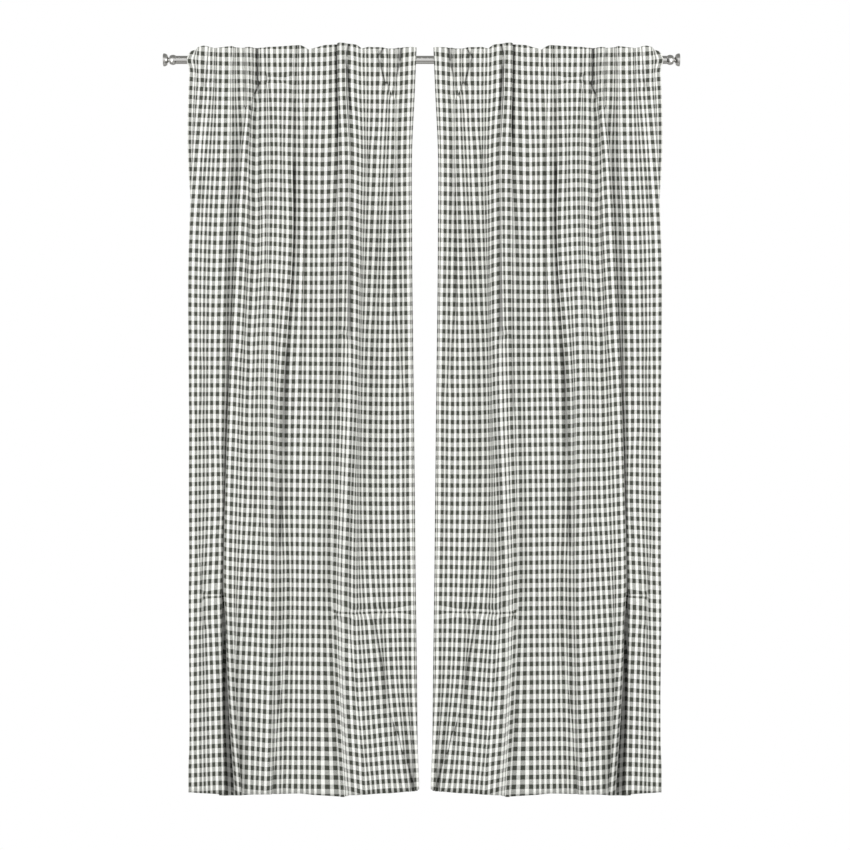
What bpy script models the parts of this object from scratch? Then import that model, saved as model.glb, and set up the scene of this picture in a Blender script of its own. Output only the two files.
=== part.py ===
# Pair of gingham curtain panels gathered on one round rod with turned finials.
# Metres, +Z up, the room is on the -Y side. The origin is the middle of the rod.
import math

import bmesh
import bpy
import numpy as np

# Rod and finials
ROD_RADIUS = 0.0120
ROD_LENGTH = 1.4120
ROD_SIDES = 40
FINIAL_SIDES = 32
FINIAL_GAP = 0.0004
BARREL_LENGTH = 0.0186
BARREL_RADIUS = 0.0150
NECK_LENGTH = 0.0036
NECK_RADIUS = 0.0070
DISC_LENGTH = 0.0152
DISC_RADIUS = 0.0188
DISC_DISH = 0.0030
DISC_DOME = 0.0114
DISC_FACE_RADIUS = 0.0113
BARREL_ROUND = 0.0030
EDGE_ROUND = 0.0012
NECK_FILLET = 0.0002
SHARP_EDGE_DEGREES = 40

# Cloth
CLOTH_THICKNESS = 0.0020
PAIR_MIDDLE_X = 0.0100
CLOTH_MEAN_OUT = 0.0430
CLOTH_DROP = 0.0055
ROD_CLEARANCE = 0.0025
SOFTNESS = 0.0040
LEAST_SCALED = 0.12
FLATTEST = 0.995
STEEPEST_ANGLE = 2.65
FINE_STEPS = 16
SLOPE_SAMPLES = 24
SEARCH_STEPS = 30

# Rod pocket at the back of the heading, as heights above the rod's axis
POCKET_TOP = 0.0215
POCKET_BOTTOM = -0.0620
POCKET_THICKNESS = 0.0020
POCKET_RADIUS = 0.0146
POCKET_FIRST_ANGLE = 100
POCKET_LAST_ANGLE = -40

# Heights at which the folds are placed, all of them lowered by the cloth's drop: height
# above the rod's axis, how much of their full depth the folds have there, and the least
# width a fold keeps per length of cloth. The heading is drawn flat along the rod, lower
# down a fold may lap over itself.
HEIGHTS = (
    # name       height   depth share   least width
    ("top",      0.037,   0.42,         0.56),
    ("heading", -0.086,   0.50,         0.56),
    ("upper",   -0.258,   0.62,         0.20),
    ("quarter", -0.487,   0.74,        -0.20),
    ("middle",  -0.974,   0.78,        -0.38),
    ("lower",   -1.261,   0.78,        -0.38),
    ("knee",    -1.547,   0.78,        -0.38),
    ("shin",    -1.776,   0.78,        -0.38),
    ("hem",     -2.106,   0.78,        -0.38),
)

# The fold lines of one panel, from its outer side hem to its inner one, in millimetres.
# across: place on the flat cloth. side: +1 stands out into the room, -1 lies back.
# steps: facets up to the next line. lift: how far the top edge stands above its level.
# hem: the same for the lower edge. Then the distance from the pair's middle, by height.
FOLDS = (
    # name           across side steps lift hem  top  heading upper quarter middle lower knee shin hem
    ("outer hem",         0,  -1,   5,  -12,   8,  670,  677,  680,  668,  655,  651,  652,  651,  655),
    ("outer roll",       62,   1,   3,    1,  13,  633,  637,  651,  666,  669,  669,  668,  667,  668),
    ("roll shoulder",   160,   1,   3,    2,   3,  572,  574,  578,  588,  598,  596,  604,  597,  590),
    ("deep fold",       245,  -1,   5,    1,  -8,  524,  522,  515,  520,  540,  552,  566,  582,  574),
    ("deep fold lip",   345,   1,   3,    0,   2,  509,  506,  519,  529,  551,  560,  563,  554,  531),
    ("first hollow",    410,  -1,   2,   -1,  -3,  480,  483,  485,  486,  505,  510,  524,  534,  540),
    ("slit edge",       440,  -1,   2,   -1,   0,  473,  470,  469,  466,  482,  485,  495,  504,  511),
    ("second roll",     500,   1,   3,   -1,   4,  437,  434,  430,  432,  443,  442,  441,  446,  455),
    ("trough edge",     560,   1,   2,    4,   1,  382,  383,  387,  383,  410,  413,  415,  420,  427),
    ("second hollow",   592,  -1,   2,    6,   0,  368,  373,  374,  374,  396,  397,  393,  398,  405),
    ("tuck ridge",      621,   1,   1,    5,   2,  357,  355,  352,  351,  367,  371,  371,  374,  378),
    ("tuck",            638,  -1,   2,   -2,   2,  341,  342,  345,  345,  350,  355,  357,  360,  360),
    ("flat field",      695,   1,   2,    4,   0,  287,  289,  294,  295,  298,  302,  304,  306,  306),
    ("tube hollow",     733,  -1,   3,    7,  -3,  253,  252,  251,  260,  267,  271,  271,  263,  248),
    ("tube face",       785,   1,   1,    9,   0,  246,  245,  238,  236,  242,  250,  255,  249,  232),
    ("tube edge",       805,   1,   2,    9,   1,  229,  227,  219,  221,  231,  240,  247,  242,  225),
    ("tube",            824,   1,   6,    9,   2,  226,  224,  216,  217,  219,  229,  237,  233,  215),
    ("third hollow",    953,  -1,   3,    1,   4,  122,  121,  128,  139,  157,  158,  146,  125,  101),
    ("small ridge",    1005,   1,   3,   -5,  11,   87,   88,   93,  101,  110,  110,  103,   93,   51),
    ("pinch",          1043,  -1,   3,   -1,   9,   78,   81,   85,   82,   76,   74,   71,   64,   34),
    ("inner ridge",    1082,   1,   2,    0,  17,   43,   46,   50,   50,   43,   42,   37,   35,   19),
    ("inner hem",      1107,  -1,   0,    0,  23,   24,   29,   37,   37,   32,   29,   26,   23,   20),
)

# Heights of the facets of the sheet, as shares of the way down between two levels
PANEL_TOP = 0.037
PANEL_BOTTOM = -2.106
ROWS_ABOVE_POCKET = 2
ROWS_IN_POCKET = 4
ROWS_BELOW_POCKET = 16
ROW_CROWDING = 1.25
POCKET_FACETS = 7


def material(name, colour, metallic, roughness):
    """A plain surface colour for one kind of part."""
    made = bpy.data.materials.new(name)
    made.use_nodes = True
    shader = made.node_tree.nodes["Principled BSDF"]
    shader.inputs["Base Color"].default_value = (*colour, 1.0)
    shader.inputs["Metallic"].default_value = metallic
    shader.inputs["Roughness"].default_value = roughness
    return made


def mean_cosine(angle):
    """Width of a fold per length of cloth when its steepest slope is the given angle."""
    turns = (np.arange(SLOPE_SAMPLES) + 0.5) * math.pi / SLOPE_SAMPLES
    return np.cos(angle[..., None] * np.sin(turns)).mean(axis=-1)


def steepest_slope(share):
    """The steepest slope of a fold whose width is this share of its cloth."""
    low = np.zeros_like(share)
    high = np.full_like(share, STEEPEST_ANGLE)
    for _ in range(SEARCH_STEPS):
        middle = 0.5 * (low + high)
        too_wide = mean_cosine(middle) > share
        low = np.where(too_wide, middle, low)
        high = np.where(too_wide, high, middle)
    return 0.5 * (low + high)


def smooth_through(levels, values, wanted):
    """Values at the wanted heights, by a smooth curve through the given ones."""
    slopes = np.gradient(values, levels, axis=0)
    index = np.clip(np.searchsorted(levels, wanted) - 1, 0, len(levels) - 2)
    step = (levels[index + 1] - levels[index])[:, None]
    t = ((wanted - levels[index])[:, None]) / step
    start = values[index] * (1 + 2 * t) * (1 - t) ** 2 + slopes[index] * step * t * (1 - t) ** 2
    end = values[index + 1] * t * t * (3 - 2 * t) + slopes[index + 1] * step * t * t * (t - 1)
    return start + end


def fold_places(heights):
    """Distance of every fold line from the pair's middle at each of the heights."""
    levels = np.array([row[1] for row in HEIGHTS])[::-1]
    places = np.array([row[6:] for row in FOLDS], dtype=float).T[::-1] / 1000
    return smooth_through(levels, places, heights)


def by_height(heights, column):
    """One column of the table of heights, at each of the heights."""
    levels = np.array([row[1] for row in HEIGHTS])[::-1]
    shares = np.array([row[column] for row in HEIGHTS])[::-1]
    return np.interp(heights, levels, shares)[:, None]


def cross_sections(heights):
    """Place and depth of the cloth's middle at each height, from hem to hem.

    Between a ridge and a hollow the cloth's slope rises and falls like half a sine wave,
    as steep as it must be for its length to fit in the width between the two.
    """
    across = np.array([row[1] for row in FOLDS], dtype=float) / 1000
    places = fold_places(heights)
    columns_x = [places[:, :1]]
    columns_y = [np.zeros((len(heights), 1))]
    least = by_height(heights, 3)
    for i, fold in enumerate(FOLDS[:-1]):
        length = across[i + 1] - across[i]
        share = (places[:, i:i + 1] - places[:, i + 1:i + 2]) / length
        angle = steepest_slope(np.clip(share, least, FLATTEST))
        count = FINE_STEPS * fold[3]
        fine = (np.arange(count) + 0.5) / count
        slope = angle * np.sin(math.pi * fine)
        run = np.cumsum(np.cos(slope), axis=1)[:, FINE_STEPS - 1::FINE_STEPS] / count
        rise = np.cumsum(np.sin(slope), axis=1)[:, FINE_STEPS - 1::FINE_STEPS] / count
        shifted = run + (share - run[:, -1:]) * (np.arange(fold[3]) + 1) / fold[3]
        scaled = run * share / np.maximum(run[:, -1:], LEAST_SCALED)
        run = np.where(share > LEAST_SCALED, scaled, shifted)
        columns_x.append(places[:, i:i + 1] - run * length)
        columns_y.append(columns_y[-1][:, -1:] + fold[2] * rise * length)
    return np.hstack(columns_x), np.hstack(columns_y)


def hung_in_place(heights, x, y):
    """Brings the folds to their depth in front of the rod, level from side to side."""
    aside = x - x.mean(axis=1, keepdims=True)
    lean = (aside * y).sum(axis=1, keepdims=True) / (aside ** 2).sum(axis=1, keepdims=True)
    y = y - y.mean(axis=1, keepdims=True) - lean * aside
    y = y * by_height(heights, 2) - CLOTH_MEAN_OUT
    nearest = -(ROD_RADIUS + ROD_CLEARANCE + 0.5 * CLOTH_THICKNESS)
    near_rod = np.clip((heights - HEIGHTS[2][1]) / (HEIGHTS[1][1] - HEIGHTS[2][1]), 0, 1)[:, None]
    pressed = nearest - SOFTNESS * np.log1p(np.exp((nearest - y) / SOFTNESS))
    return y + near_rod * (pressed - y)


def edge_heights():
    """How far the top edge and the hem stand off their levels, at each column of facets."""
    knots = np.cumsum([0] + [row[3] for row in FOLDS[:-1]])
    columns = np.arange(knots[-1] + 1)
    lift, hem = (np.array([row[field] for row in FOLDS], dtype=float) / 1000 for field in (4, 5))
    return np.interp(columns, knots, lift), np.interp(columns, knots, hem)


def row_heights():
    """Heights of the rows of facets, from the top edge to the hem."""
    strip = POCKET_THICKNESS
    above = np.linspace(PANEL_TOP, POCKET_TOP, ROWS_ABOVE_POCKET)
    inside = np.linspace(POCKET_TOP - strip, POCKET_BOTTOM + strip, ROWS_IN_POCKET)
    share = np.linspace(0, 1, ROWS_BELOW_POCKET)
    below = POCKET_BOTTOM + (PANEL_BOTTOM - POCKET_BOTTOM) * share ** ROW_CROWDING
    return np.concatenate([above, inside, below])


def sheet_faces(heights):
    """The two faces of the sheet: the middle surface moved along its normals."""
    x, y = cross_sections(heights)
    y = hung_in_place(heights, x, y)
    lift, hem = edge_heights()
    z = np.repeat(heights[:, None], x.shape[1], axis=1)
    top_share = np.clip((z - POCKET_TOP) / (PANEL_TOP - POCKET_TOP), 0, 1)
    hem_share = np.clip((HEIGHTS[-2][1] - z) / (HEIGHTS[-2][1] - PANEL_BOTTOM), 0, 1)
    z = z + lift * top_share + hem * hem_share - CLOTH_DROP
    middle = np.stack([x, y, z], axis=-1)
    down = np.gradient(middle, axis=0)
    along = np.gradient(middle, axis=1)
    normal = np.cross(along, down)
    normal /= np.linalg.norm(normal, axis=-1, keepdims=True)
    return middle + 0.5 * CLOTH_THICKNESS * normal, middle - 0.5 * CLOTH_THICKNESS * normal


def pocket_faces(start_inner, start_outer, end_inner, end_outer):
    """The two faces of the pocket's back: over the rod, down behind it, back to the sheet."""
    angles = np.radians(np.linspace(POCKET_FIRST_ANGLE, POCKET_LAST_ANGLE, POCKET_FACETS - 1))
    inner = [start_inner]
    outer = [start_outer]
    for angle in angles:
        for faces, radius in ((inner, POCKET_RADIUS), (outer, POCKET_RADIUS + POCKET_THICKNESS)):
            point = np.empty_like(start_inner)
            point[:, 0] = start_inner[:, 0]
            point[:, 1] = radius * math.cos(angle)
            point[:, 2] = radius * math.sin(angle)
            faces.append(point)
    return np.array(inner + [end_inner]), np.array(outer + [end_outer])


def add_strip(faces, first, second):
    """Quads between two rows of vertex numbers."""
    for a, b, c, d in zip(first[:-1], first[1:], second[1:], second[:-1]):
        faces.append((int(a), int(b), int(c), int(d)))


def face_outwards(mesh):
    """Turns every face of a closed mesh to the outside."""
    edit = bmesh.new()
    edit.from_mesh(mesh)
    bmesh.ops.recalc_face_normals(edit, faces=edit.faces[:])
    edit.to_mesh(mesh)
    edit.free()


def panel(name, side, colour):
    """One panel: a folded sheet whose heading carries a pocket for the rod.

    The sheet's back face has no facets where the two edges of the pocket are sewn on, so
    the sheet and the pocket are one closed body with a tunnel for the rod.
    """
    heights = row_heights()
    front, back = sheet_faces(heights)
    first = ROWS_ABOVE_POCKET - 1
    last = ROWS_ABOVE_POCKET + ROWS_IN_POCKET - 1
    inner, outer = pocket_faces(back[first + 1], back[first], back[last], back[last + 1])
    rows, columns = front.shape[:2]
    grid = np.arange(rows * columns).reshape(rows, columns)
    front_ids = grid
    back_ids = grid + rows * columns
    middle_rows = len(inner) - 2
    pocket_grid = np.arange(middle_rows * columns).reshape(middle_rows, columns)
    inner_ids = pocket_grid + 2 * rows * columns
    outer_ids = inner_ids + middle_rows * columns
    inner_ids = np.vstack([back_ids[first + 1], inner_ids, back_ids[last]])
    outer_ids = np.vstack([back_ids[first], outer_ids, back_ids[last + 1]])
    pieces = (front, back, inner[1:-1], outer[1:-1])
    points = np.concatenate([piece.reshape(-1, 3) for piece in pieces])
    points[:, 0] = PAIR_MIDDLE_X + side * points[:, 0]
    faces = []
    for row in range(rows - 1):
        add_strip(faces, front_ids[row], front_ids[row + 1])
        if row not in (first, last):
            add_strip(faces, back_ids[row + 1], back_ids[row])
    for row in range(len(inner_ids) - 1):
        add_strip(faces, inner_ids[row], inner_ids[row + 1])
        add_strip(faces, outer_ids[row + 1], outer_ids[row])
    add_strip(faces, back_ids[0], front_ids[0])
    add_strip(faces, front_ids[-1], back_ids[-1])
    for column, turn in ((0, 1), (-1, -1)):
        add_strip(faces, front_ids[:, column][::turn], back_ids[:, column][::turn])
        add_strip(faces, inner_ids[:, column][::-turn], outer_ids[:, column][::-turn])
    mesh = bpy.data.meshes.new(name)
    mesh.from_pydata(points.tolist(), [], faces)
    face_outwards(mesh)
    mesh.materials.append(colour)
    mesh.polygons.foreach_set("use_smooth", [True] * len(mesh.polygons))
    mesh.update()
    made = bpy.data.objects.new(name, mesh)
    bpy.context.scene.collection.objects.link(made)
    return made


def rod(colour):
    """The straight round rod, along X."""
    bpy.ops.mesh.primitive_cylinder_add(
        vertices=ROD_SIDES, radius=ROD_RADIUS, depth=ROD_LENGTH, rotation=(0, math.pi / 2, 0))
    made = bpy.context.object
    made.name = "rod"
    made.data.materials.append(colour)
    bpy.ops.object.shade_smooth()
    made.data.set_sharp_from_angle(angle=math.radians(SHARP_EDGE_DEGREES))
    return made


def finial_profile():
    """Half outline of a finial, as radius and distance from the rod's end."""
    face_radius = BARREL_RADIUS - BARREL_ROUND
    disc_start = BARREL_LENGTH + NECK_LENGTH
    disc_end = disc_start + DISC_LENGTH
    outline = [(0.0, 0.0), (face_radius, 0.0)]
    for share in (0.25, 0.5, 0.75):
        swell = BARREL_ROUND * math.sin(share * math.pi)
        outline.append((face_radius + swell, share * BARREL_LENGTH))
    outline.append((face_radius, BARREL_LENGTH))
    outline.append((NECK_RADIUS, BARREL_LENGTH + NECK_FILLET))
    outline.append((NECK_RADIUS, disc_start - NECK_FILLET))
    for degrees in (20, 45, 70, 90):
        turn = math.radians(degrees)
        radius = NECK_RADIUS + (DISC_RADIUS - NECK_RADIUS) * math.sin(turn)
        outline.append((radius, disc_start + DISC_DOME * (1 - math.cos(turn))))
    outline.append((DISC_RADIUS, disc_end - EDGE_ROUND))
    outline.append((DISC_RADIUS - EDGE_ROUND, disc_end))
    outline.append((DISC_FACE_RADIUS, disc_end - DISC_DISH))
    outline.append((0.0, disc_end - DISC_DISH))
    return outline


def finial(name, side, colour):
    """A turned finial: barrel, neck, and an end disc domed towards the rod."""
    profile = finial_profile()
    points = [(radius, 0.0, along) for radius, along in reversed(profile)]
    edges = [(i, i + 1) for i in range(len(points) - 1)]
    mesh = bpy.data.meshes.new(name)
    mesh.from_pydata(points, edges, [])
    mesh.materials.append(colour)
    made = bpy.data.objects.new(name, mesh)
    bpy.context.scene.collection.objects.link(made)
    turned = made.modifiers.new("turned", "SCREW")
    turned.axis = "Z"
    turned.steps = FINIAL_SIDES
    turned.render_steps = FINIAL_SIDES
    turned.use_merge_vertices = True
    turned.merge_threshold = 0.00001
    turned.use_smooth_shade = True
    made.rotation_euler = (0, side * math.pi / 2, 0)
    made.location = (side * (0.5 * ROD_LENGTH + FINIAL_GAP), 0, 0)
    return made


def main():
    for old in list(bpy.data.objects):
        bpy.data.objects.remove(old, do_unlink=True)
    group = bpy.data.collections.new("curtain_pair")
    bpy.context.scene.collection.children.link(group)
    gingham = material("gingham_cotton", (0.47, 0.48, 0.45), 0.0, 0.9)
    chrome = material("polished_chrome", (0.72, 0.72, 0.73), 1.0, 0.12)
    made = [
        panel("curtain_left", -1, gingham),
        panel("curtain_right", 1, gingham),
        rod(chrome),
        finial("finial_left", -1, chrome),
        finial("finial_right", 1, chrome),
    ]
    for part in made:
        for owner in list(part.users_collection):
            owner.objects.unlink(part)
        group.objects.link(part)


main()
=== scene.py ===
# Pair of gingham curtain panels gathered on one round rod with turned finials.
# Metres, +Z up, the room is on the -Y side. The origin is the middle of the rod.
import math

import bpy
import numpy as np
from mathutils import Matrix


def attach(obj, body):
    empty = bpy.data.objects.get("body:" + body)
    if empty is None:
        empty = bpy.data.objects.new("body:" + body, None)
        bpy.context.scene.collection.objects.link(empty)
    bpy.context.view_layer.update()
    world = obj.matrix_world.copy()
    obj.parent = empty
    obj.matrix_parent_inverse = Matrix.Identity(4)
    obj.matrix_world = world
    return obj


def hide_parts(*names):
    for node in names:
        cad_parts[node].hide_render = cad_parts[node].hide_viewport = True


bl_info = {
    "name": "Gingham Curtain Pair",
    "version": (1, 0, 0),
    "blender": (4, 5, 0),
    "location": "View3D > Sidebar > Curtains",
    "description": "Adds two gathered gingham panels on a round rod with turned finials",
    "category": "Add Mesh",
}

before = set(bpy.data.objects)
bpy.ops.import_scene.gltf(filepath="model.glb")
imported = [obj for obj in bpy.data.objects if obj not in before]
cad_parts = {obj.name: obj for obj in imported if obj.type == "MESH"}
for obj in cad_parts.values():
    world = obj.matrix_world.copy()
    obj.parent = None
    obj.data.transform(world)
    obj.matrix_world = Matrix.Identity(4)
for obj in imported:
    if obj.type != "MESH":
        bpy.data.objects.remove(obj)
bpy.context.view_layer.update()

# Sizes that the cloth shares with its rod and with the solids
ROD_RADIUS = 0.0120
PAIR_MIDDLE_X = 0.0100
CLOTH_MEAN_OUT = 0.0430
CLOTH_DROP = 0.0055
PANEL_TOP = 0.037
PANEL_BOTTOM = -2.106

# How the folds are worked out: how near the heading may come to the rod and how softly it
# is pressed there, the least share of its width that a fold is scaled to, the flattest and
# the steepest fold, and how fine the sums are
ROD_CLEARANCE = 0.0029
SOFTNESS = 0.0040
LEAST_SCALED = 0.12
FLATTEST = 0.995
STEEPEST_ANGLE = 2.65
SLOPE_SAMPLES = 24
SEARCH_STEPS = 30
FINE_STEPS = 4

# The pocket: its seams' heights, how far its back runs on below the lower seam and lies
# behind the sheet, the arc of the back round the rod in degrees, its small gathers, and
# the number of the check's band at the header's edge
POCKET_TOP = 0.0215
POCKET_BOTTOM = -0.0620
POCKET_TURNING = 0.006
POCKET_GAP = 0.0024
POCKET_RADIUS = 0.0150
POCKET_ARC = (105, -50)
POCKET_ARC_ROWS = 18
GATHER_DEPTH = 0.0012
GATHER_WIDTH = 0.027
HEADER_BAND = -1.5

# The pocket's mouth at the outer side hem: how far it bulges, how high and how wide
MOUTH_BULGE = 0.010
MOUTH_HEIGHT = 0.020
MOUTH_WIDTH = 0.030

# Slack cloth: two sets of waves and the puckers at the pocket's seams. Each has a height
# out of the sheet and a length across it. The other numbers bend them and let them fade.
WAVE_HEIGHT = 0.0009
WAVE_LENGTH = 0.083
WAVE_BEND = (0.6, 2.3)
WAVE_FADE = (3.1, 9.0)
FINE_WAVE_HEIGHT = 0.0006
FINE_WAVE_LENGTH = 0.049
FINE_WAVE_LEAN = 0.9
FINE_WAVE_FADE = 5.0
PUCKER_HEIGHT = 0.0012
PUCKER_LENGTH = 0.031
PUCKER_UNEVEN = (0.25, 40.0)
TOP_SEAM_REACH = 0.016
LOW_SEAM_REACH = 0.022

# The weave: how far the yarns wander across and down (in bands of the check), the wander's
# scale, where the first warp band lies, the bands' soft edges, how much the warp shows, and
# the heights of the surface's small forms with the strength that they are shaded at
YARN_WANDER = 0.0016
BAND_WANDER = 0.10
WANDER_SCALE = 14.0
FIRST_BAND = 0.55
WARP_EDGE = 0.035
WEFT_EDGE = 0.03
WARP_SHARE = 0.625
WEAVE_CONTRAST = 0.30
YARN_HEIGHT = 0.00008
FLUFF_SCALE = 900.0
FLUFF_HEIGHT = 0.00006
WRINKLE_SCALE = 30.0
WRINKLE_HEIGHT = 0.0006
RELIEF_STRENGTH = 0.5

# Wiping marks on the plating
MARK_SCALE = 300.0
MARK_STRENGTH = 0.06

# Viewpoint: straight at the pair, level with the middle of the picture
CAMERA_HEIGHT = -1.0457
CAMERA_DISTANCE = 8.0
CAMERA_LENS = 118.3

# Stage: the floor, then each soft light's place, the point it faces, and its size
FLOOR_CORNERS = 96
FLOOR_COLOUR = (0.72, 0.72, 0.71, 1)
SIDE_LIGHT = ((1.35, -1.30, -1.05), (0.35, 0, -1.05), (0.5, 3.0))
TOP_LIGHT = ((0, -5.6, 3.0), (0, 0, -0.9), (4.2, 0.50))

# Places of a colour mix's sockets: factor, the two colours and the result
MIX_INPUTS = (0, 6, 7)
MIX_RESULT = 2

# Columns of the tables below, counted from nothing
HEIGHT, DEPTH_SHARE, LEAST_WIDTH = 1, 2, 3
ACROSS, SIDE, STEPS, HEM, PLACES = 1, 2, 3, 4, 5

# The light that comes from all round: how high (sine of the elevation) and its colour
SURROUND = (
    ("straight down",  -1.00,  0.36, 0.35, 0.34),
    ("below",          -0.52,  0.42, 0.41, 0.39),
    ("low edge",       -0.24,  1.00, 1.00, 1.00),
    ("high edge",       0.24,  1.00, 1.00, 1.00),
    ("above",           0.52,  0.38, 0.38, 0.37),
    ("straight up",     1.00,  0.28, 0.28, 0.27),
)

# Heights at which the folds are placed: height above the rod's axis, how much of their
# full depth the folds have there, and the least width a fold keeps per length of cloth.
HEIGHTS = (
    # name       height   depth share   least width
    ("top",      0.037,   0.42,         0.56),
    ("heading", -0.086,   0.50,         0.56),
    ("upper",   -0.258,   0.62,         0.20),
    ("quarter", -0.487,   0.74,        -0.20),
    ("middle",  -0.974,   0.78,        -0.38),
    ("lower",   -1.261,   0.78,        -0.38),
    ("knee",    -1.547,   0.78,        -0.38),
    ("shin",    -1.776,   0.78,        -0.38),
    ("hem",     -2.106,   0.78,        -0.38),
)

# The fold lines of one panel, from its outer side hem to its inner one, in millimetres.
# across: place on the flat cloth. side: +1 stands out into the room, -1 lies back.
# steps: facets of the solid up to the next line. hem: how far the lower edge stands above
# its level. Then the line's distance from the pair's middle at each of the heights.
FOLDS = (
    # name           across side steps hem   top heading upper quarter middle lower knee shin hem
    ("outer hem",         0,  -1,   5,   8,  670,  677,  680,  668,  655,  651,  652,  651,  655),
    ("outer roll",       62,   1,   3,  13,  633,  637,  651,  666,  669,  669,  668,  667,  668),
    ("roll shoulder",   160,   1,   3,   3,  572,  574,  578,  588,  598,  596,  604,  597,  590),
    ("deep fold",       245,  -1,   5,  -8,  524,  522,  515,  520,  540,  552,  566,  582,  574),
    ("deep fold lip",   345,   1,   3,   2,  509,  506,  519,  529,  551,  560,  563,  554,  531),
    ("first hollow",    410,  -1,   2,  -3,  480,  483,  485,  486,  505,  510,  524,  534,  540),
    ("slit edge",       440,  -1,   2,   0,  473,  470,  469,  466,  482,  485,  495,  504,  511),
    ("second roll",     500,   1,   3,   4,  437,  434,  430,  432,  443,  442,  441,  446,  455),
    ("trough edge",     560,   1,   2,   1,  382,  383,  387,  383,  410,  413,  415,  420,  427),
    ("second hollow",   592,  -1,   2,   0,  368,  373,  374,  374,  396,  397,  393,  398,  405),
    ("tuck ridge",      621,   1,   1,   2,  357,  355,  352,  351,  367,  371,  371,  374,  378),
    ("tuck",            638,  -1,   2,   2,  341,  342,  345,  345,  350,  355,  357,  360,  360),
    ("flat field",      695,   1,   2,   0,  287,  289,  294,  295,  298,  302,  304,  306,  306),
    ("tube hollow",     733,  -1,   3,  -3,  253,  252,  251,  260,  267,  271,  271,  263,  248),
    ("tube face",       785,   1,   1,   0,  246,  245,  238,  236,  242,  250,  255,  249,  232),
    ("tube edge",       805,   1,   2,   1,  229,  227,  219,  221,  231,  240,  247,  242,  225),
    ("tube",            824,   1,   6,   2,  226,  224,  216,  217,  219,  229,  237,  233,  215),
    ("third hollow",    953,  -1,   3,   4,  122,  121,  128,  139,  157,  158,  146,  125,  101),
    ("small ridge",    1005,   1,   3,  11,   87,   88,   93,  101,  110,  110,  103,   93,   51),
    ("pinch",          1043,  -1,   3,   9,   78,   81,   85,   82,   76,   74,   71,   64,   34),
    ("inner ridge",    1082,   1,   2,  17,   43,   46,   50,   50,   43,   42,   37,   35,   19),
    ("inner hem",      1107,  -1,   0,  23,   24,   29,   37,   37,   32,   29,   26,   23,   20),
)

# The header's scalloped edge between the fold lines: place on the flat cloth and how far
# the edge stands above its level, in millimetres.
HEADER_EDGE = (
    (0, -12), (20, -8), (40, -2), (62, 1), (110, -5), (180, 4), (245, 1), (345, 0),
    (410, -1), (455, -1), (500, -1), (592, 6), (621, 5), (634, -1), (645, -8), (662, -4),
    (695, 4), (733, 7), (790, 10), (824, 9), (858, 5), (878, -5), (905, 1), (953, 1),
    (975, -4), (1005, -5), (1043, -1), (1082, 0), (1107, 0),
)

# Where the check's dark weft bands lie down the middle of a panel: number of the band
# and its height above the rod, in millimetres.
WEFT_LEVELS = (
    (-2, 67), (0, 14.6), (9, -220), (19, -483), (29, -742), (39, -999), (49, -1258),
    (59, -1518), (69, -1783), (79, -2054), (83, -2164),
)

# How far the weft stands above that level along the panel, at seven heights, in millimetres
WEFT_RISE_HEIGHTS = (0.014, -0.272, -0.584, -1.100, -1.518, -1.942, -2.083)
WEFT_RISE = (
    # name            across   heading  upper  quarter  middle  knee  shin  hem
    ("outer hem",          0,       8,    12,     15,   15.5,     18,   26,   34),
    ("outer roll",        62,       3,    12,     15,   15.5,     19,   27,   34),
    ("roll side",        150,       0,    11,     11,     18,     26,   34,   38),
    ("deep fold",        245,      -1,    12,     14,     16,     33,   38,   38),
    ("deep fold lip",    345,      -1,    12,     13,     14,     10,    8,    6),
    ("first hollow",     410,      -3,     1,      5,      7,      6,    5,    4),
    ("roll back",        455,      -3,     5,     10,      7,      3,    1,   -2),
    ("second roll",      500,      -3,     6,      9,      6,      0,   -4,   -5),
    ("roll front",       545,      -3,     4,      5,      2,      0,   -4,    0),
    ("second hollow",    592,      -3,     2,      1,      1,      2,    1,    2),
    ("tuck",             638,      -2,     1,      0,      1,      1,    1,    1),
    ("flat field",       695,       0,     0,      0,      0,      0,    0,    0),
    ("tube hollow",      733,       4,     3,      1,     -1,     -1,   -1,   -1),
    ("tube face",        780,       6,     5,      2,     -2,     -3,   -4,   -2),
    ("tube",             824,       7,     6,      3,     -6,     -9,  -17,   -6),
    ("tube side",        870,      -2,    -3,     -7,     -9,    -16,  -23,  -17),
    ("inner slope",      910,      -3,    -4,     -8,    -10,    -15,  -20,  -14),
    ("third hollow",     953,      -3,    -5,     -9,    -12,    -14,  -14,  -11),
    ("small ridge",     1005,      -4,    -4,    -10,    -13,    -13,  -10,  -11),
    ("pinch",           1043,      -4,    -5,     -9,    -13,    -12,   -9,   -9),
    ("inner ridge",     1082,       1,    -3,     -8,    -11,    -12,   -9,   -7),
    ("inner hem",       1107,       3,    -2,     -7,    -11,    -12,   -9,   -6),
)

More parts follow.
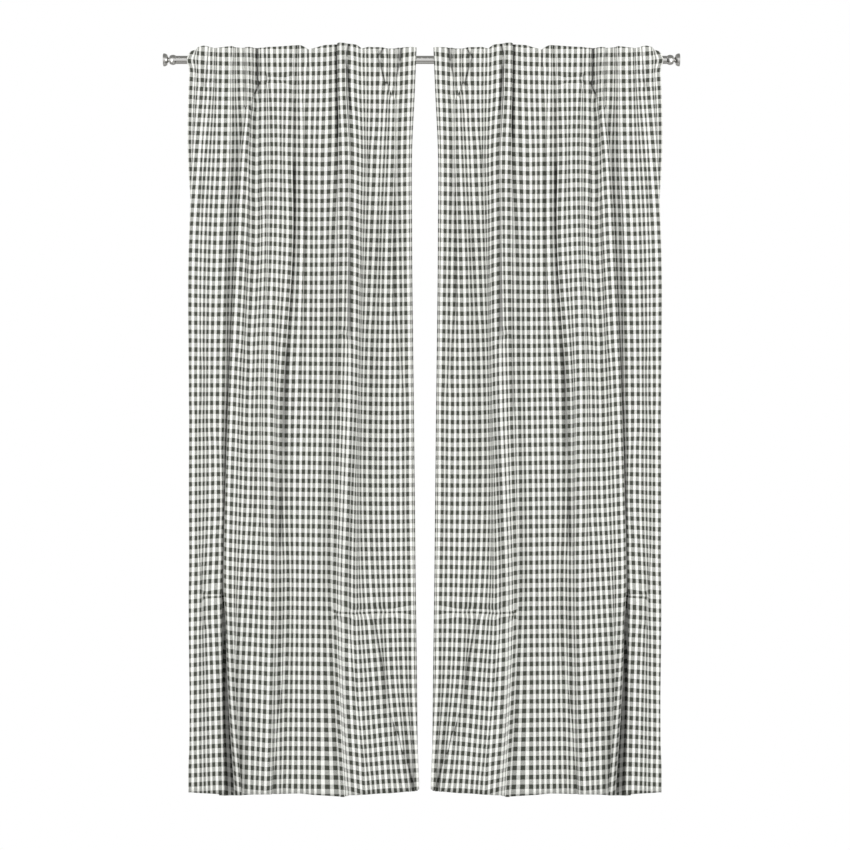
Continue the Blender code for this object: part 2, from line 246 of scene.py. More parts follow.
# Creases of the sheet, in millimetres. Each runs from its upper place on the flat cloth
# to its lower one. depth: how far it sinks (negative) or stands out. taken: how much cloth
# it gathers in from its neighbours. half: half its width. shade: painted shade at its bottom.
CREASES = (
    # name              across: above  below  height: above  below  depth taken half  shade
    ("outer foot turn",           40,    62,          -1500, -2000,    -3,     4,    9,  0.00),
    ("notch line",                80,    74,             40,   -30,    -6,     7,    5,  0.55),
    ("notch line",                74,    72,            -30,   -80,    -3,     5,    6,  0.25),
    ("roll line",                 68,    92,            -60,  -450,    -3,     5,    7,  0.00),
    ("roll line",                 92,    96,           -450,  -860,    -2,     4,    7,  0.00),
    ("roll kink",                 85,    87,          -1000, -1400,    -2,     5,    8,  0.00),
    ("roll kink",                 90,   122,          -1400, -1620,    -2,     5,    8,  0.00),
    ("second line",              182,   186,             20,  -560,    -4,     7,    6,  0.20),
    ("second line",              186,   205,           -560, -1000,    -2,     5,    7,  0.15),
    ("roll gather",              160,   205,          -1080, -1400,    -1,     4,   12,  0.00),
    ("roll edge",                200,   212,          -1400, -1620,    -2,     9,   12,  0.25),
    ("roll edge",                212,   214,          -1620, -2120,    -3,    12,   12,  0.50),
    ("header slit",              408,   409,             42,     0,    -3,     2,    6,  1.00),
    ("header slit",              409,   414,              0,   -84,    -2,     2,    6,  1.00),
    ("header right line",        462,   470,             40,   -80,    -4,     6,    5,  0.40),
    ("header crossing",          430,   352,            -60,  -150,    -6,     4,    7,  0.50),
    ("lip gather",               360,   384,           -150,  -400,    -3,     7,   11,  0.10),
    ("lip gather",               384,   388,           -400,  -840,    -2,     6,    9,  0.10),
    ("hollow band",              424,   434,            -90,  -600,    -3,     5,   10,  0.00),
    ("hollow band",              434,   445,           -600, -1020,    -2,     4,    9,  0.00),
    ("hollow band",              445,   462,          -1020, -1340,    -1,     4,    9,  0.00),
    ("second roll line",         498,   500,           -110,  -640,    -3,     5,    6,  0.00),
    ("dark trough",              591,   590,           -110,  -290,    -3,     2,    6,  0.20),
    ("dark trough",              590,   586,           -290,  -560,    -4,     2,    7,  0.85),
    ("dark trough",              586,   578,           -560,  -820,    -4,     2,    8,  0.75),
    ("dark trough",              580,   575,           -820, -1120,    -6,     2,   12,  0.85),
    ("dark trough",              575,   560,          -1120, -1400,    -4,     3,   10,  0.50),
    ("plane edge",               558,   568,          -1380, -1780,     3,     6,    5,  0.00),
    ("plane edge",               568,   545,          -1780, -2110,     3,     8,    5,  0.00),
    ("step line",                633,   638,            -90,  -990,    -4,     6,    5,  0.00),
    ("scallop line",             643,   645,             45,   -20,    -5,     5,    5,  0.40),
    ("tube slit",                735,   736,             45,  -240,    -4,     2,    7,  1.00),
    ("tube slit",                742,   750,           -240,  -560,    -4,     2,    9,  0.90),
    ("tube slit",                752,   768,           -560, -1000,    -4,     2,   12,  0.50),
    ("tube right line",          834,   823,             45,     8,    -4,     3,    4,  0.80),
    ("tube right line",          823,   822,              8,  -330,    -4,     2,    4,  0.90),
    ("tube right line",          829,   834,            -15,  -150,    -3,     2,    4,  0.80),
    ("tube right line",          815,   826,           -330,  -800,    -4,     3,    8,  0.60),
    ("tube right line",          834,   850,           -800, -1640,    -3,     5,    8,  0.30),
    ("pinch left",               958,   940,             42,    10,    -6,     6,    5,  0.80),
    ("pinch left",               940,   959,             10,   -62,    -3,     6,    5,  0.70),
    ("pinch left",               959,  1006,            -62,  -108,    -4,     6,    5,  0.75),
    ("pinch right",             1052,  1049,             42,    -5,    -5,     3,    5,  0.90),
    ("pinch right",             1049,  1030,             -5,   -82,    -3,     3,    5,  0.85),
    ("inner line",              1038,  1034,           -110,  -700,    -4,     6,    6,  0.25),
    ("inner line",              1034,  1056,           -700,  -940,    -2,     5,    7,  0.20),
    ("thin line",                949,   960,           -120,  -560,    -2,     6,    5,  0.00),
    ("thin line",                960,   956,           -560,  -740,    -1,     4,    6,  0.00),
    ("slant line",               919,   872,           -230,  -630,    -2,     5,    7,  0.00),
    ("diagonal",                 946,   966,          -1600, -1820,    -4,     8,    7,  0.35),
    ("diagonal",                 966,  1010,          -1820, -1980,    -5,     8,    7,  0.40),
    ("diagonal",                1010,  1060,          -1980, -2120,    -5,     8,    7,  0.40),
    ("valley",                   286,   292,          -1560, -2120,    -8,     0,   52,  0.42),
    ("tube foot line",           847,   882,          -1620, -2040,    -2,     5,    7,  0.00),
)
# How far a crease draws on its neighbours, in half widths, how suddenly it starts and ends,
# and how far its line runs on past its ends, as a share of its length
CREASE_REACH = 4.0
CREASE_ENDS = 6.0
CREASE_OVERRUN = 0.1

# Cross creases, in millimetres: a stretch of the cloth's width, their height at both ends
# and how much of its length is folded away there, in bands of the check.
CROSS_CREASES = (
    # name             across: from    to  height: from    to  taken  half
    ("roll buckle",              95,  330,       -1533, -1541,  0.55,    8),
    ("tube buckle",             733, 1080,       -1586, -1580,  0.46,    8),
    ("tube nick",               775,  850,        -782,  -790,  0.30,    7),
    ("seam nick",               455,  560,         -52,   -60,  0.25,    8),
)
# How deep a cross crease is, and how far it spreads the bands, in half widths
CROSS_CREASE_DEPTH = 0.0035
CROSS_CREASE_SPREAD = 2.5

# Rows of the cloth's grid: height where a stretch starts and how many rows it has. Then
# the columns' distance on the flat cloth.
ROW_SPANS = ((0.037, 38), (-0.190, 52), (-1.480, 26), (-1.640, 26), (-2.106, 0))
COLUMN_SPACING = 0.0034


class CurtainClothSettings(bpy.types.PropertyGroup):
    """Sizes and colours of the woven check."""

    check_across: bpy.props.FloatProperty(
        name="Check Across", description="Width of one repeat of the check",
        default=0.0172, unit="LENGTH")
    check_down: bpy.props.FloatProperty(
        name="Check Down", description="Height of one repeat of the check",
        default=0.0262, unit="LENGTH")
    band_across: bpy.props.FloatProperty(
        name="Dark Band Across", description="Share of a repeat that dark warp yarns take",
        default=0.58, min=0, max=1, subtype="FACTOR")
    band_down: bpy.props.FloatProperty(
        name="Dark Band Down", description="Share of a repeat that dark weft yarns take",
        default=0.49, min=0, max=1, subtype="FACTOR")
    yarn: bpy.props.FloatProperty(
        name="Yarn Spacing", description="Distance between neighbouring yarns",
        default=0.00066, unit="LENGTH")
    # Painted shade: how far the colour is darkened towards black at the bottom of each crease, in
    # place of its shadow
    fold_shade: bpy.props.FloatProperty(
        name="Fold Shade", description="How much darker the cloth is at the bottom of a crease",
        default=0.92, min=0, max=1, subtype="FACTOR")
    thickness: bpy.props.FloatProperty(
        name="Cloth Thickness", description="Thickness of one layer of cloth",
        default=0.0008, unit="LENGTH")
    dark: bpy.props.FloatVectorProperty(
        name="Dark Yarn", description="Colour of the dyed yarns",
        default=(0.055, 0.059, 0.048), subtype="COLOR", min=0, max=1)
    light: bpy.props.FloatVectorProperty(
        name="Light Yarn", description="Colour of the undyed yarns",
        default=(0.87, 0.875, 0.835), subtype="COLOR", min=0, max=1)


class CurtainRodSettings(bpy.types.PropertyGroup):
    """Finish of the rod and its finials."""

    metal: bpy.props.FloatVectorProperty(
        name="Metal", description="Colour of the plated metal",
        default=(0.66, 0.655, 0.64), subtype="COLOR", min=0, max=1)
    roughness: bpy.props.FloatProperty(
        name="Roughness", description="How blurred the reflections are",
        default=0.10, min=0, max=1, subtype="FACTOR")


class CurtainStageSettings(bpy.types.PropertyGroup):
    """Floor and light around the curtains."""

    floor_drop: bpy.props.FloatProperty(
        name="Floor Below Rod", description="Height of the rod above the floor",
        default=2.45, unit="LENGTH")
    floor_radius: bpy.props.FloatProperty(
        name="Floor Radius", description="Radius of the round floor",
        default=1.05, unit="LENGTH")
    side_power: bpy.props.FloatProperty(
        name="Side Lights", description="Power of the tall soft light beside each panel",
        default=10.5, min=0, unit="POWER")
    top_power: bpy.props.FloatProperty(
        name="Top Light", description="Power of the long soft light above the camera",
        default=188.0, min=0, unit="POWER")


def mean_cosine(angle):
    """Width of a fold per length of cloth when its steepest slope is the given angle:
    the mean over half a turn of the cosine of (angle times the turn's sine)."""
    turns = (np.arange(SLOPE_SAMPLES) + 0.5) * math.pi / SLOPE_SAMPLES
    return np.cos(angle[..., None] * np.sin(turns)).mean(axis=-1)


def steepest_slope(share):
    """The angle whose mean cosine is the given share, found by halving an interval."""
    low = np.zeros_like(share)
    high = np.full_like(share, STEEPEST_ANGLE)
    for _ in range(SEARCH_STEPS):
        middle = 0.5 * (low + high)
        too_wide = mean_cosine(middle) > share
        low = np.where(too_wide, middle, low)
        high = np.where(too_wide, high, middle)
    return 0.5 * (low + high)


def smooth_through(levels, values, wanted):
    """Cubic curve through the values given at rising levels, read at the wanted levels."""
    slopes = np.gradient(values, levels, axis=0)
    index = np.clip(np.searchsorted(levels, wanted) - 1, 0, len(levels) - 2)
    step = (levels[index + 1] - levels[index])[:, None]
    t = ((wanted - levels[index])[:, None]) / step
    start = values[index] * (1 + 2 * t) * (1 - t) ** 2 + slopes[index] * step * t * (1 - t) ** 2
    end = values[index + 1] * t * t * (3 - 2 * t) + slopes[index + 1] * step * t * t * (t - 1)
    return start + end


def metres(table, column):
    """One column of a table in millimetres, as metres."""
    return np.array([row[column] for row in table], dtype=float) / 1000


def fold_places(heights):
    """Distance of every fold line from the pair's middle at each of the heights."""
    levels = np.array([row[HEIGHT] for row in HEIGHTS])[::-1]
    places = np.array([row[PLACES:] for row in FOLDS], dtype=float).T[::-1] / 1000
    return smooth_through(levels, places, heights)


def by_height(heights, column):
    """One column of the table of heights, at each of the heights."""
    levels = np.array([row[HEIGHT] for row in HEIGHTS])[::-1]
    shares = np.array([row[column] for row in HEIGHTS])[::-1]
    return np.interp(heights, levels, shares)[:, None]


def fine_steps():
    """How many columns of the fine grid each fold takes, by its length of cloth."""
    lengths = np.diff(metres(FOLDS, ACROSS))
    return np.maximum(2, np.round(lengths / COLUMN_SPACING)).astype(int)


def cloth_places(steps):
    """Place on the flat cloth of every column of a grid with these steps in each fold."""
    knots = np.concatenate([[0], np.cumsum(steps)])
    return np.interp(np.arange(knots[-1] + 1), knots, metres(FOLDS, ACROSS))


def cross_sections(heights, steps):
    """Place and depth of the cloth's middle at each height, from hem to hem.

    Between a ridge and a hollow the cloth's slope is the steepest slope times the sine of
    half a turn, and place and depth are the running sums of its cosine and sine.
    """
    across = metres(FOLDS, ACROSS)
    places = fold_places(heights)
    columns_x = [places[:, :1]]
    columns_y = [np.zeros((len(heights), 1))]
    least = by_height(heights, LEAST_WIDTH)
    for i, fold in enumerate(FOLDS[:-1]):
        length = across[i + 1] - across[i]
        share = (places[:, i:i + 1] - places[:, i + 1:i + 2]) / length
        angle = steepest_slope(np.clip(share, least, FLATTEST))
        count = FINE_STEPS * steps[i]
        slope = angle * np.sin(math.pi * (np.arange(count) + 0.5) / count)
        run = np.cumsum(np.cos(slope), axis=1)[:, FINE_STEPS - 1::FINE_STEPS] / count
        rise = np.cumsum(np.sin(slope), axis=1)[:, FINE_STEPS - 1::FINE_STEPS] / count
        shifted = run + (share - run[:, -1:]) * (np.arange(steps[i]) + 1) / steps[i]
        scaled = run * share / np.maximum(run[:, -1:], LEAST_SCALED)
        run = np.where(share > LEAST_SCALED, scaled, shifted)
        columns_x.append(places[:, i:i + 1] - run * length)
        columns_y.append(columns_y[-1][:, -1:] + fold[SIDE] * rise * length)
    return np.hstack(columns_x), np.hstack(columns_y)


def levelled(heights, x, y):
    """Depths without the mean and the lean that the solid's own columns have, and as deep
    as the height's share says."""
    solid_x, solid_y = cross_sections(heights, [row[STEPS] for row in FOLDS[:-1]])
    middle = solid_x.mean(axis=1, keepdims=True)
    aside = solid_x - middle
    lean = (aside * solid_y).sum(axis=1, keepdims=True) / (aside ** 2).sum(axis=1, keepdims=True)
    y = y - solid_y.mean(axis=1, keepdims=True) - lean * (x - middle)
    return y * by_height(heights, DEPTH_SHARE) - CLOTH_MEAN_OUT


def surface_normals(points):
    """Unit normals of a grid of points, on the room's side."""
    down = np.gradient(points, axis=0)
    along = np.gradient(points, axis=1)
    normal = np.cross(along, down)
    return normal / np.linalg.norm(normal, axis=-1, keepdims=True)


def bell(distance, half_width):
    """One at no distance, falling to nothing over the half width, like a bell."""
    return np.exp(-(distance / half_width) ** 2)


def creased(across, heights):
    """How far the creases sink each point, how far they draw it aside and how much painted shade
    darkens it.

    Each crease is a bell across its line times a smooth start and end down it. Its
    neighbours are drawn towards the line by a soft step that dies away with distance.
    """
    sunk = np.zeros((len(heights), len(across)))
    drawn = np.zeros_like(sunk)
    shade = np.zeros_like(sunk)
    for _, above, below, start, end, depth, taken, half, dark in CREASES:
        down = (start / 1000 - heights[:, None]) / ((start - end) / 1000)
        along = np.clip(down, -CREASE_OVERRUN, 1 + CREASE_OVERRUN)
        line = (above + (below - above) * along) / 1000
        share = np.clip(CREASE_ENDS * np.minimum(down, 1 - down) + 0.5, 0, 1)
        share = share * share * (3 - 2 * share)
        away = (across[None, :] - line) / (half / 1000)
        sunk += depth / 1000 * share * bell(away, 1)
        # Painted shade: the darkening at the crease's bottom, standing in for the shadow there
        shade = np.maximum(shade, dark * share * np.exp(-away ** 4))
        drawn += taken / 2000 * share * np.tanh(away) * bell(away, CREASE_REACH)
    return sunk, drawn, shade


def buckled(across, heights, bands):
    """The weft's band numbers with the cross creases in them: each packs the bands closer
    at its own height and spreads them just above and below, with a shallow trough."""
    sunk = np.zeros_like(bands)
    for _, left, right, start, end, taken, half in CROSS_CREASES:
        along = (across[None, :] * 1000 - left) / (right - left)
        share = np.clip(CREASE_ENDS * np.minimum(along, 1 - along), 0, 1)
        away = (heights[:, None] * 1000 - start - (end - start) * np.clip(along, 0, 1)) / half
        bands = bands - taken * share * np.tanh(away) * bell(away, CROSS_CREASE_SPREAD)
        sunk -= CROSS_CREASE_DEPTH * share * bell(away, 1)
    return bands, sunk


def slack_ripples(across, heights):
    """Faint waves of slack cloth, and short puckers near the pocket's two seams.

    A wave is a sine across the cloth that a slow sine of the height bends and lets fade.
    The puckers are a quick, uneven sine across it, under a bell at each seam.
    """
    u = across[None, :]
    z = heights[:, None]
    turn = 2 * math.pi
    bend = WAVE_BEND[0] * np.sin(WAVE_BEND[1] * z)
    fade = np.sin(WAVE_FADE[0] * z + WAVE_FADE[1] * u)
    waves = WAVE_HEIGHT * np.sin(turn * (u / WAVE_LENGTH + bend)) * fade
    fine = np.sin(turn * (u / FINE_WAVE_LENGTH - FINE_WAVE_LEAN * z)) * np.cos(FINE_WAVE_FADE * z)
    uneven = PUCKER_UNEVEN[0] * np.sin(PUCKER_UNEVEN[1] * u)
    puckers = np.sin(turn * (u / PUCKER_LENGTH + uneven))
    seams = bell(z - POCKET_TOP, TOP_SEAM_REACH) + bell(z - POCKET_BOTTOM, LOW_SEAM_REACH)
    return waves + FINE_WAVE_HEIGHT * fine + PUCKER_HEIGHT * puckers * seams


def pressed_clear_of_rod(heights, y):
    """Keeps the heading in front of the rod: a soft lower limit on how far back it lies."""
    nearest = -(ROD_RADIUS + ROD_CLEARANCE)
    heading, upper = HEIGHTS[1][HEIGHT], HEIGHTS[2][HEIGHT]
    near_rod = np.clip((heights - upper) / (heading - upper), 0, 1)[:, None]
    pressed = nearest - SOFTNESS * np.log1p(np.exp((nearest - y) / SOFTNESS))
    return y + near_rod * (pressed - y)


def grid_heights():
    """Heights of the rows of the grid, closer together where the cloth has small forms."""
    spans = [np.linspace(start, end, rows, endpoint=False)
             for (start, rows), (end, _) in zip(ROW_SPANS, ROW_SPANS[1:])]
    return np.concatenate(spans + [[PANEL_BOTTOM]])


def hung_sheet():
    """The hung sheet: the points of its middle, the flat cloth's place and painted shade of each.

    The folds give place and depth, the creases and waves move each point along the
    surface's normal, and the two edges follow their own lines.
    """
    heights = grid_heights()
    steps = fine_steps()
    across = cloth_places(steps)
    x, y = cross_sections(heights, steps)
    y = levelled(heights, x, y)
    sunk, drawn, shade = creased(across, heights)
    edge_across, edge_lift = np.array(HEADER_EDGE).T / 1000
    lift = np.interp(across, edge_across, edge_lift)
    hem = np.interp(across, metres(FOLDS, ACROSS), metres(FOLDS, HEM))
    z = np.repeat(heights[:, None], len(across), axis=1)
    shin = HEIGHTS[-2][HEIGHT]
    top_share = np.clip((z - POCKET_TOP) / (PANEL_TOP - POCKET_TOP), 0, 1)
    hem_share = np.clip((shin - z) / (shin - PANEL_BOTTOM), 0, 1)
    mouth = MOUTH_BULGE * bell(heights, MOUTH_HEIGHT)[:, None] * bell(across, MOUTH_WIDTH)
    points = np.stack([x + drawn + mouth, y, z + lift * top_share + hem * hem_share], axis=-1)
    bands, buckle = buckled(across, heights, weft_place(across, points))
    moved = sunk + buckle + slack_ripples(across, heights)
    points = points + moved[..., None] * surface_normals(points)
    points[..., 1] = pressed_clear_of_rod(heights, points[..., 1])
    points[..., 2] -= CLOTH_DROP
    return points, np.stack([np.broadcast_to(across, z.shape), bands], axis=-1), shade


def weft_place(across, points):
    """How far down the cloth's own length each point lies, counted in bands of the check.

    A point is carried along its line of sight to the sheet's mean plane, the weft's rise
    there is taken off, and the bands' numbers are read from the table of their levels.
    """
    depth = (CAMERA_DISTANCE + points[..., 1] + CLOTH_MEAN_OUT) / CAMERA_DISTANCE
    seen = CAMERA_HEIGHT + (points[..., 2] - CAMERA_HEIGHT) / depth
    rises = np.array([row[ACROSS + 1:] for row in WEFT_RISE]).T / 1000
    levels = np.array(WEFT_RISE_HEIGHTS)
    places = metres(WEFT_RISE, ACROSS)
    along = np.stack([np.interp(across, places, row) for row in rises])
    flat = np.clip(seen, levels[-1], levels[0])
    index = np.clip(np.searchsorted(-levels, -flat) - 1, 0, len(levels) - 2)
    share = (levels[index] - flat) / (levels[index] - levels[index + 1])
    columns = np.broadcast_to(np.arange(len(across)), seen.shape)
    rise = along[index, columns] * (1 - share) + along[index + 1, columns] * share
    numbers, heights = np.array(WEFT_LEVELS).T
    return np.interp(-(seen - rise), -heights / 1000, numbers)


def grid_object(name, points, cloth, shade, flip):
    """An object with a face for each cell of the grid and the flat cloth's places as UVs."""
    rows, columns = points.shape[:2]
    index = np.arange(rows * columns).reshape(rows, columns)
    corners = np.stack([index[:-1, :-1], index[1:, :-1], index[1:, 1:], index[:-1, 1:]], axis=-1)
    corners = corners.reshape(-1, 4)[:, ::-1] if flip else corners.reshape(-1, 4)
    mesh = bpy.data.meshes.new(name)
    mesh.from_pydata(points.reshape(-1, 3).tolist(), [], corners.tolist())
    layer = mesh.uv_layers.new(name="cloth")
    layer.uv.foreach_set("vector", cloth.reshape(-1, 2)[corners.ravel()].ravel())
    # Each point carries the painted shade of the creases, read by the cloth's shader
    mesh.attributes.new("fold_shade", "FLOAT", "POINT").data.foreach_set("value", shade.ravel())
    mesh.polygons.foreach_set("use_smooth", np.ones(len(corners), dtype=bool))
    mesh.update()
    made = bpy.data.objects.new(name, mesh)
    bpy.context.scene.collection.objects.link(made)
    return made


def node(tree, kind, inputs=(), **fields):
    """A shader node with its fields set and its inputs given, in order, as links or numbers."""
    made = tree.nodes.new(kind)
    for field, value in fields.items():
        setattr(made, field, value)
    for socket, value in zip(made.inputs, inputs):
        if isinstance(value, bpy.types.NodeSocket):
            tree.links.new(value, socket)
        elif value is not None:
            socket.default_value = value
    return made.outputs


def sums(tree, operation, *inputs):
    """A Math node's result."""
    return node(tree, "ShaderNodeMath", inputs, operation=operation)[0]


def blended(tree, factor, first, second):
    """A mix of two colours."""
    made = tree.nodes.new("ShaderNodeMix")
    made.data_type = "RGBA"
    for place, value in zip(MIX_INPUTS, (factor, first, second)):
        if isinstance(value, bpy.types.NodeSocket):
            tree.links.new(value, made.inputs[place])
        else:
            made.inputs[place].default_value = value
    return made.outputs[MIX_RESULT]


def new_material(name):
    """A material, its node tree and its shader."""
    made = bpy.data.materials.new(name)
    made.use_nodes = True
    return made, made.node_tree, made.node_tree.nodes["Principled BSDF"]


def band(tree, place, share, softness):
    """One inside a dark band and nothing outside: bands are centred on whole numbers."""
    away = sums(tree, "PINGPONG", place, 0.5)
    limits = (away, 0.5 * share + softness, 0.5 * share - softness, 0.0, 1.0)
    return node(tree, "ShaderNodeMapRange", limits, interpolation_type="SMOOTHSTEP")[0]


def noise(tree, places, scale, detail):
    """Noise spread over the flat cloth: its value, then its colour."""
    return node(tree, "ShaderNodeTexNoise", (places, None, scale, detail), noise_dimensions="2D")


def gingham(settings):
    """Woven check: dyed and undyed yarns in both directions, each on top in turn."""
    material, tree, shader = new_material("gingham_cotton")
    places = node(tree, "ShaderNodeUVMap", uv_map="cloth")[0]
    split = node(tree, "ShaderNodeSeparateXYZ", (places,))
    drift = node(tree, "ShaderNodeSeparateColor", (noise(tree, places, WANDER_SCALE, 2.0)[1],))
    across = sums(tree, "MULTIPLY_ADD", drift[0], YARN_WANDER, split[0])
    across = sums(tree, "SUBTRACT", across, 0.5 * YARN_WANDER)
    warp_place = sums(tree, "MULTIPLY_ADD", across, 1 / settings.check_across, FIRST_BAND)
    weft_place = sums(tree, "MULTIPLY_ADD", drift[1], BAND_WANDER, split[1])
    weft_place = sums(tree, "SUBTRACT", weft_place, 0.5 * BAND_WANDER)
    warp = band(tree, warp_place, settings.band_across, WARP_EDGE)
    weft = band(tree, weft_place, settings.band_down, WEFT_EDGE)
    yarn_across = sums(tree, "MULTIPLY", warp_place, math.pi * settings.check_across / settings.yarn)
    yarn_down = sums(tree, "MULTIPLY", weft_place, math.pi * settings.check_down / settings.yarn)
    weave = sums(tree, "MULTIPLY", sums(tree, "SINE", yarn_across), sums(tree, "SINE", yarn_down))
    on_top = sums(tree, "MULTIPLY_ADD", weave, WEAVE_CONTRAST, WARP_SHARE)
    dark = (*settings.dark, 1)
    light = (*settings.light, 1)
    colour = blended(tree, on_top, blended(tree, weft, light, dark), blended(tree, warp, light, dark))
    # Painted shade: the check's colour is darkened towards black at the bottom of the creases
    shade = node(tree, "ShaderNodeAttribute", attribute_name="fold_shade")["Fac"]
    shaded = blended(tree, sums(tree, "MULTIPLY", shade, settings.fold_shade), colour, (0, 0, 0, 1))
    tree.links.new(shaded, shader.inputs["Base Color"])
    fluff = sums(tree, "MULTIPLY", noise(tree, places, FLUFF_SCALE, 3.0)[0], FLUFF_HEIGHT)
    height = sums(tree, "MULTIPLY_ADD", weave, YARN_HEIGHT, fluff)
    wrinkles = noise(tree, places, WRINKLE_SCALE, 3.0)[0]
    height = sums(tree, "MULTIPLY_ADD", wrinkles, WRINKLE_HEIGHT, height)
    bump = node(tree, "ShaderNodeBump", (RELIEF_STRENGTH, 1.0, None, height))
    tree.links.new(bump[0], shader.inputs["Normal"])
    shader.inputs["Roughness"].default_value = 0.92
    shader.inputs["Specular IOR Level"].default_value = 0.15
    shader.inputs["Sheen Weight"].default_value = 0.10
    shader.inputs["Sheen Roughness"].default_value = 0.5
    return material


def plated_metal(settings):
    """Polished plating with faint wiping marks."""
    material, tree, shader = new_material("polished_chrome")
    places = node(tree, "ShaderNodeTexCoord")["Object"]
    marks = node(tree, "ShaderNodeTexNoise", (places, None, MARK_SCALE, 3.0))[0]
    smoothest = settings.roughness - 0.5 * MARK_STRENGTH
    rough = sums(tree, "MULTIPLY_ADD", marks, MARK_STRENGTH, smoothest)
    tree.links.new(rough, shader.inputs["Roughness"])
    shader.inputs["Base Color"].default_value = (*settings.metal, 1)
    shader.inputs["Metallic"].default_value = 1.0
    return material


def add_cloth(name, points, cloth, shade, side, flip, material, thickness):
    """A thin piece of cloth, placed on its own side of the pair's middle."""
    placed = points * (side, 1, 1) + (PAIR_MIDDLE_X, 0, 0)
    made = grid_object(name, placed, cloth, shade, flip)
    made.data.materials.append(material)
    shell = made.modifiers.new("thickness", "SOLIDIFY")
    shell.thickness = thickness
    shell.offset = 0
    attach(made, "root")
    return made


def pocket_profile(rows, across):
    """The pocket's back, from the header's edge over the rod and down to its seam.

    Each column runs close behind the sheet to the upper seam, round the rod on an arc a
    little wider than it, and back to the sheet at the lower seam.
    """
    top, seam, low, end = rows
    arc = np.radians(np.linspace(*POCKET_ARC, POCKET_ARC_ROWS))[:, None]
    share = np.linspace(0, 1, POCKET_ARC_ROWS)[:, None]
    gathers = 1 + np.sin(2 * math.pi * across / GATHER_WIDTH)
    radius = POCKET_RADIUS + GATHER_DEPTH * gathers
    x = seam[:, 0] * (1 - share) + low[:, 0] * share
    round_rod = np.stack([x, radius * np.cos(arc), radius * np.sin(arc)], axis=-1)
    return np.concatenate([[top, seam], round_rod, [low, end]])


def pocket_back(points, cloth, check_down):
    """The turned-back cloth of the pocket: its points, the flat cloth's place and shade.
    """
    behind = points - POCKET_GAP * surface_normals(points)
    heights = grid_heights()
    levels = (POCKET_TOP, POCKET_BOTTOM, POCKET_BOTTOM - POCKET_TURNING)
    rows = [0] + [int(np.argmin(np.abs(heights - level))) for level in levels]
    across = cloth[0, :, 0]
    back = pocket_profile(behind[rows], across)
    step = np.linalg.norm(np.diff(back[:, :, 1:], axis=0), axis=-1).mean(axis=1)
    down = HEADER_BAND - np.concatenate([[0], np.cumsum(step)]) / check_down
    place = np.stack(np.broadcast_arrays(across[None, :], down[:, None]), axis=-1)
    return back, place, np.zeros(place.shape[:2])


class CURTAIN_OT_hang_panels(bpy.types.Operator):
    """Hang the two gathered panels of woven cloth on the rod"""

    bl_idname = "curtain.hang_panels"
    bl_label = "Hang Panels"

    def execute(self, context):
        settings = context.scene.curtain_cloth
        finish = (gingham(settings), settings.thickness)
        front = hung_sheet()
        back = pocket_back(*front[:2], settings.check_down)
        for name, side in (("curtain_left", -1), ("curtain_right", 1)):
            sheet = add_cloth(name + "_cloth", *front, side, side > 0, *finish)
            pocket = add_cloth(name + "_pocket", *back, side, side < 0, *finish)
            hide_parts(name)
        return {"FINISHED"}


class CURTAIN_OT_finish_rod(bpy.types.Operator):
    """Give the rod and its finials their plated finish"""

    bl_idname = "curtain.finish_rod"
    bl_label = "Finish Rod"

    def execute(self, context):
        material = plated_metal(context.scene.curtain_rod)
        for name in ("rod", "finial_left", "finial_right"):
            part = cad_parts[name]
            part.data.materials.clear()
            part.data.materials.append(material)
        return {"FINISHED"}


class CURTAIN_OT_set_stage(bpy.types.Operator):
    """Set the pale floor, the soft light and the camera"""

    bl_idname = "curtain.set_stage"
    bl_label = "Set Stage"

    def execute(self, context):
        settings = context.scene.curtain_stage
        add_floor(settings)
        light_surround()
        place, target, size = SIDE_LIGHT
        for name, side in (("side_left", -1), ("side_right", 1)):
            mirror = np.array((side, 1, 1))
            add_soft_light(name, mirror * place, mirror * target, size, settings.side_power)
        add_soft_light("top_strip", *TOP_LIGHT, settings.top_power)
        add_camera(context.scene)
        context.scene.view_settings.view_transform = "Standard"
        return {"FINISHED"}


def add_floor(settings):
    """A round plain floor below the hems: a circle of corners joined as one flat face."""
    turns = np.arange(FLOOR_CORNERS) * 2 * math.pi / FLOOR_CORNERS
    points = np.column_stack([np.cos(turns), np.sin(turns), np.zeros(FLOOR_CORNERS)])
    points = points * settings.floor_radius + (0, 0, -settings.floor_drop)
    mesh = bpy.data.meshes.new("floor")
    mesh.from_pydata(points.tolist(), [], [tuple(range(FLOOR_CORNERS))])
    floor = bpy.data.objects.new("floor", mesh)
    bpy.context.scene.collection.objects.link(floor)
    material, _, shader = new_material("pale_floor")
    shader.inputs["Base Color"].default_value = FLOOR_COLOUR
    shader.inputs["Roughness"].default_value = 0.9
    shader.inputs["Specular IOR Level"].default_value = 0.0
    mesh.materials.append(material)


def light_surround():
    """Soft light from all round: brightest level with the cloth, dimmer above and below."""
    world = bpy.data.worlds.new("studio")
    bpy.context.scene.world = world
    world.use_nodes = True
    tree = world.node_tree
    direction = node(tree, "ShaderNodeTexCoord")[0]
    upwards = node(tree, "ShaderNodeSeparateXYZ", (direction,))[2]
    place = sums(tree, "MULTIPLY_ADD", upwards, 0.5, 0.5)
    ramp = tree.nodes.new("ShaderNodeValToRGB")
    tree.links.new(place, ramp.inputs[0])
    stops = ramp.color_ramp.elements
    while len(stops) < len(SURROUND):
        stops.new(0.5)
    for stop, (_, height, *colour) in zip(stops, SURROUND):
        stop.position = 0.5 + 0.5 * height
        stop.color = (*colour, 1)
    tree.links.new(ramp.outputs[0], tree.nodes["Background"].inputs["Color"])


def add_soft_light(name, place, target, size, power):
    """A soft light of the given width and height that faces the target."""
    data = bpy.data.lights.new(name, "AREA")
    data.shape = "RECTANGLE"
    data.size, data.size_y = size
    data.energy = power
    light = bpy.data.objects.new(name, data)
    bpy.context.scene.collection.objects.link(light)
    light.location = place
    towards = np.array(target) - np.array(place)
    flat = math.hypot(towards[0], towards[1])
    light.rotation_euler = (math.pi / 2 + math.atan2(towards[2], flat), 0,
                            math.atan2(towards[1], towards[0]) - math.pi / 2)


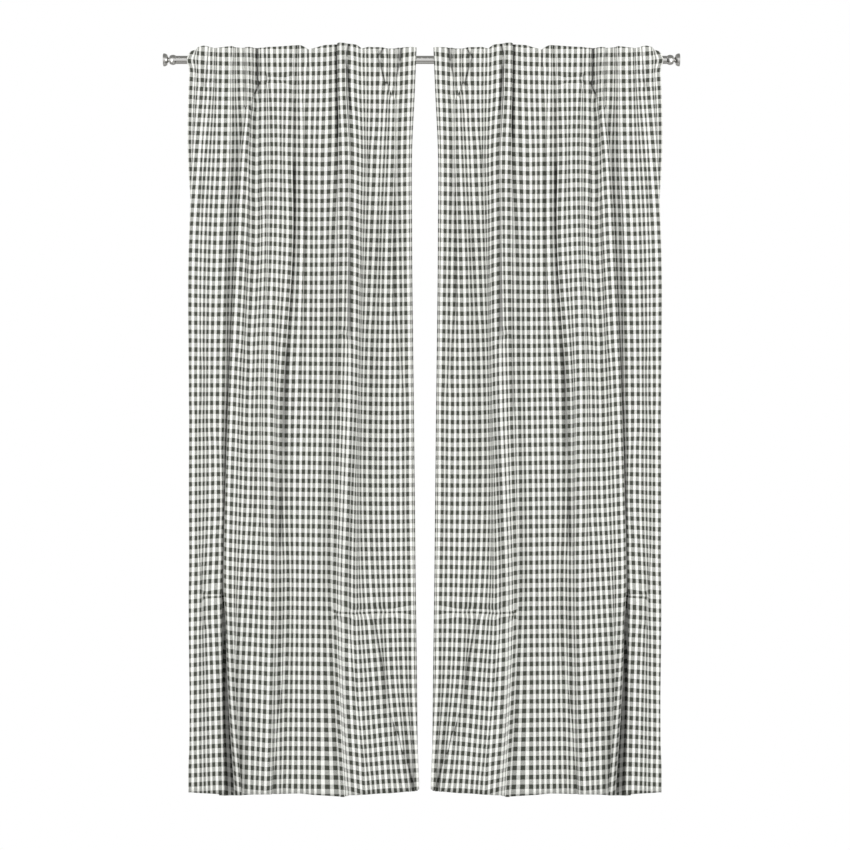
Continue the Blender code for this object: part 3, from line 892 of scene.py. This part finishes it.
def add_camera(scene):
    """The camera, level and straight on, at the height of the picture's middle."""
    data = bpy.data.cameras.new("camera")
    data.lens = CAMERA_LENS
    camera = bpy.data.objects.new("camera", data)
    scene.collection.objects.link(camera)
    camera.location = (PAIR_MIDDLE_X, -CLOTH_MEAN_OUT - CAMERA_DISTANCE, CAMERA_HEIGHT - CLOTH_DROP)
    camera.rotation_euler = (math.pi / 2, 0, 0)
    scene.camera = camera


class CURTAIN_PT_sidebar(bpy.types.Panel):
    """Buttons and settings for the curtain pair"""

    bl_label = "Gingham Curtain Pair"
    bl_idname = "CURTAIN_PT_sidebar"
    bl_space_type = "VIEW_3D"
    bl_region_type = "UI"
    bl_category = "Curtains"

    def draw(self, context):
        scene = context.scene
        for settings, operator in (
            (scene.curtain_cloth, "curtain.hang_panels"),
            (scene.curtain_rod, "curtain.finish_rod"),
            (scene.curtain_stage, "curtain.set_stage"),
        ):
            box = self.layout.box()
            for name in settings.__annotations__:
                box.prop(settings, name)
            box.operator(operator)


CLASSES = (
    CurtainClothSettings,
    CurtainRodSettings,
    CurtainStageSettings,
    CURTAIN_OT_hang_panels,
    CURTAIN_OT_finish_rod,
    CURTAIN_OT_set_stage,
    CURTAIN_PT_sidebar,
)


def register():
    """Make the settings, the operators and the sidebar known."""
    for kind in CLASSES:
        bpy.utils.register_class(kind)
    bpy.types.Scene.curtain_cloth = bpy.props.PointerProperty(type=CurtainClothSettings)
    bpy.types.Scene.curtain_rod = bpy.props.PointerProperty(type=CurtainRodSettings)
    bpy.types.Scene.curtain_stage = bpy.props.PointerProperty(type=CurtainStageSettings)


def unregister():
    """Take them away again."""
    del bpy.types.Scene.curtain_stage
    del bpy.types.Scene.curtain_rod
    del bpy.types.Scene.curtain_cloth
    for kind in reversed(CLASSES):
        bpy.utils.unregister_class(kind)


def main():
    """Build the whole scene once, in order."""
    register()
    bpy.ops.curtain.hang_panels()
    bpy.ops.curtain.finish_rod()
    bpy.ops.curtain.set_stage()


if __name__ == "__main__":
    main()
